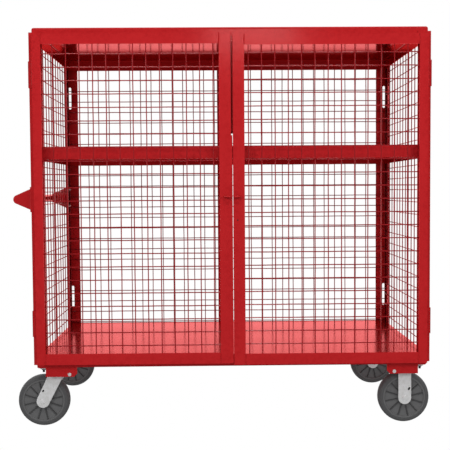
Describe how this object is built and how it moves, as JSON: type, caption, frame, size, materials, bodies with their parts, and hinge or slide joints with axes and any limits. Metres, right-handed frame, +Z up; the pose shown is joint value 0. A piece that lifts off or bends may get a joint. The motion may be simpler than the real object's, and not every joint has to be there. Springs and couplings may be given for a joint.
{
  "type": "expanded metal security cart",
  "caption": "Enclosed wire-mesh security cart with hinged front doors, a deck, a middle shelf, a roof, a push handle, and swivel and rigid casters.",
  "frame": {"origin": "On the floor under the middle of the outline: the middle of the bounding box in X and Y, and its bottom in Z.", "axes": "+Z up. The doors face -Y, and the push handle and the swivel casters are on the left end, towards -X."},
  "size_m": [1.6454, 0.844, 1.5595],
  "materials": {
    "red_powder_coat": "glossy powder coat",
    "zinc_plated_steel": "bright zinc plate",
    "dark_steel": "plain",
    "grey_wheel": "matt moulded",
    "bronze_bushing": "plain"
  },
  "bodies": {
    "cage": {"deck_pan": "red_powder_coat", "front_handle_bracket": "red_powder_coat", "front_left_caster_mount": "red_powder_coat", "front_left_post": "red_powder_coat", "front_left_swivel_plate": "zinc_plated_steel", "front_lower_handle_bolt": "zinc_plated_steel", "front_right_axle_bolt": "zinc_plated_steel", "front_right_caster_mount": "red_powder_coat", "front_right_post": "red_powder_coat", "front_right_rigid_fork": "zinc_plated_steel", "front_upper_handle_bolt": "zinc_plated_steel", "left_lower_hinge_frame_leaf": "red_powder_coat", "left_lower_hinge_pin": "dark_steel", "left_side_mesh": "red_powder_coat", "left_upper_hinge_frame_leaf": "red_powder_coat", "left_upper_hinge_pin": "dark_steel", "middle_shelf": "red_powder_coat", "push_handle_tube": "red_powder_coat", "rear_centre_upright": "red_powder_coat", "rear_handle_bracket": "red_powder_coat", "rear_left_caster_mount": "red_powder_coat", "rear_left_mesh": "red_powder_coat", "rear_left_post": "red_powder_coat", "rear_left_swivel_plate": "zinc_plated_steel", "rear_lower_handle_bolt": "zinc_plated_steel", "rear_right_axle_bolt": "zinc_plated_steel", "rear_right_caster_mount": "red_powder_coat", "rear_right_mesh": "red_powder_coat", "rear_right_post": "red_powder_coat", "rear_right_rigid_fork": "zinc_plated_steel", "rear_upper_handle_bolt": "zinc_plated_steel", "right_lower_hinge_frame_leaf": "red_powder_coat", "right_lower_hinge_pin": "dark_steel", "right_side_mesh": "red_powder_coat", "right_upper_hinge_frame_leaf": "red_powder_coat", "right_upper_hinge_pin": "dark_steel", "roof_pan": "red_powder_coat"},
    "left_door": {"left_door_frame": "red_powder_coat", "left_door_mesh": "red_powder_coat", "left_padlock_tab": "red_powder_coat", "left_lower_hinge_door_leaf": "red_powder_coat", "left_upper_hinge_door_leaf": "red_powder_coat"},
    "right_door": {"right_door_frame": "red_powder_coat", "right_door_mesh": "red_powder_coat", "right_padlock_tab": "red_powder_coat", "right_lower_hinge_door_leaf": "red_powder_coat", "right_upper_hinge_door_leaf": "red_powder_coat", "door_stop": "red_powder_coat"},
    "front_left_wheel": {"front_left_wheel": "grey_wheel", "front_left_wheel_bushing": "bronze_bushing"},
    "front_left_swivel": {"front_left_swivel_fork": "zinc_plated_steel", "front_left_axle_bolt": "zinc_plated_steel"},
    "front_right_wheel": {"front_right_wheel": "grey_wheel", "front_right_wheel_bushing": "bronze_bushing"},
    "rear_left_wheel": {"rear_left_wheel": "grey_wheel", "rear_left_wheel_bushing": "bronze_bushing"},
    "rear_left_swivel": {"rear_left_swivel_fork": "zinc_plated_steel", "rear_left_axle_bolt": "zinc_plated_steel"},
    "rear_right_wheel": {"rear_right_wheel": "grey_wheel", "rear_right_wheel_bushing": "bronze_bushing"}
  },
  "joints": [
    {"name": "left_door_hinge", "type": "hinge", "parent": "cage", "child": "left_door", "pos_m": [-0.72435, -0.35835, 0.9], "axis": [0, 0, -1], "range_deg": [0, 95]},
    {"name": "right_door_hinge", "type": "hinge", "parent": "cage", "child": "right_door", "pos_m": [0.79465, -0.35835, 0.9], "axis": [0, 0, 1], "range_deg": [0, 95]},
    {"name": "front_left_swivel_turn", "type": "hinge", "parent": "cage", "child": "front_left_swivel", "pos_m": [-0.65085, -0.28335, 0.2255], "axis": [0, 0, 1], "continuous": true},
    {"name": "front_left_wheel_spin", "type": "hinge", "parent": "front_left_swivel", "child": "front_left_wheel", "pos_m": [-0.71485, -0.28335, 0.1016], "axis": [0, 1, 0], "continuous": true},
    {"name": "front_right_wheel_spin", "type": "hinge", "parent": "cage", "child": "front_right_wheel", "pos_m": [0.72115, -0.28335, 0.1016], "axis": [0, 1, 0], "continuous": true},
    {"name": "rear_left_swivel_turn", "type": "hinge", "parent": "cage", "child": "rear_left_swivel", "pos_m": [-0.65085, 0.34265, 0.2255], "axis": [0, 0, 1], "continuous": true},
    {"name": "rear_left_wheel_spin", "type": "hinge", "parent": "rear_left_swivel", "child": "rear_left_wheel", "pos_m": [-0.71485, 0.34265, 0.1016], "axis": [0, 1, 0], "continuous": true},
    {"name": "rear_right_wheel_spin", "type": "hinge", "parent": "cage", "child": "rear_right_wheel", "pos_m": [0.72115, 0.34265, 0.1016], "axis": [0, 1, 0], "continuous": true}
  ]
}
